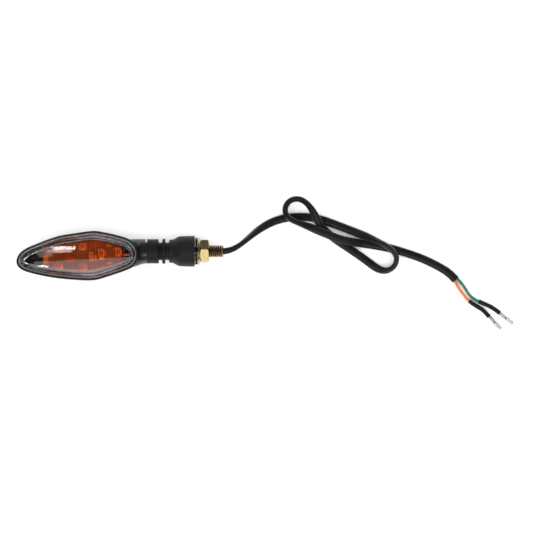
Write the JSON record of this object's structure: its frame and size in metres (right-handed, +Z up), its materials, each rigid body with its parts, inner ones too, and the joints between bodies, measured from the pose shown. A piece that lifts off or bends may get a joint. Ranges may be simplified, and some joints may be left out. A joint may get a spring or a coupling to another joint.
{
  "type": "turn signal indicator",
  "caption": "Motorcycle turn signal: leaf-shaped lamp with a faceted clear lens over an amber inner lens, flexible rubber stalk, hollow bolt with nut, and a cable with bullet terminals.",
  "frame": {"origin": "centre of the bottom of the box round lamp, stalk and bolt, with the lamp lying on its back", "axes": "+X along the stalk and bolt, away from the lamp; +Z up through the clear lens; +Y to the side"},
  "size_m": [0.3754, 0.1015, 0.0304],
  "materials": {
    "black_plastic": "satin moulded",
    "rubber": "matte",
    "clear_lens": "clear, polished",
    "amber_lens": "tinted, ribbed",
    "board": "white solder mask",
    "led_body": "clear resin",
    "resistor_body": "ceramic",
    "diode_glass": "glass body",
    "steel": "plain",
    "black_steel": "black oxide",
    "yellow_zinc": "yellow-passivated zinc on steel",
    "brassy_zinc": "yellow-passivated zinc on steel, dull",
    "tinned_brass": "tinned",
    "black_pvc": "satin",
    "green_pvc": "satin",
    "orange_pvc": "satin"
  },
  "bodies": {
    "mount": {"rubber_bell": "rubber", "neck_core_rear": "rubber", "hollow_bolt": "brassy_zinc", "cable_sleeve": "black_pvc", "green_wire": "green_pvc", "orange_wire": "orange_pvc", "green_insulator": "black_pvc", "orange_insulator": "black_pvc", "green_terminal": "tinned_brass", "orange_terminal": "tinned_brass"},
    "neck_rib": {"neck_rib": "rubber", "neck_core_front": "rubber"},
    "head": {"housing": "black_plastic", "lens_gasket": "rubber", "outer_lens": "clear_lens", "inner_lens": "amber_lens", "circuit_board": "board", "led_1": "led_body", "led_2": "led_body", "led_3": "led_body", "led_4": "led_body", "led_5": "led_body", "led_6": "led_body", "resistor_1": "resistor_body", "resistor_2": "resistor_body", "diode": "diode_glass", "board_screw_1": "steel", "board_screw_2": "steel", "green_inner_lead": "green_pvc", "orange_inner_lead": "orange_pvc", "rubber_collar": "rubber"},
    "washers": {"lock_washer": "black_steel", "flat_washer": "yellow_zinc"},
    "nut": {"hex_nut": "yellow_zinc"}
  },
  "joints": [
    {"name": "neck_rear_bend", "type": "hinge", "parent": "mount", "child": "neck_rib", "pos_m": [0.0356, 0.0034, 0.01165], "axis": [0, 0, 1], "range_deg": [-12, 12], "stiffness_Nm_per_rad": 1.5, "deforming": ["neck_core_rear"]},
    {"name": "neck_front_bend", "type": "hinge", "parent": "neck_rib", "child": "head", "pos_m": [0.0305, 0.0034, 0.01165], "axis": [0, 1, 0], "range_deg": [-12, 12], "stiffness_Nm_per_rad": 1.5, "deforming": ["neck_core_front"]},
    {"name": "washer_slide", "type": "slide", "parent": "mount", "child": "washers", "axis": [1, 0, 0], "range_m": [0, 0.009]},
    {"name": "nut_turn", "type": "hinge", "parent": "washers", "child": "nut", "pos_m": [0.06375, 0.0034, 0.01165], "axis": [1, 0, 0], "range_deg": [0, 2160]}
  ],
  "couplings": [
    {"joint": "washer_slide", "follows": "nut_turn", "m_per_rad": 0.00023873}
  ]
}
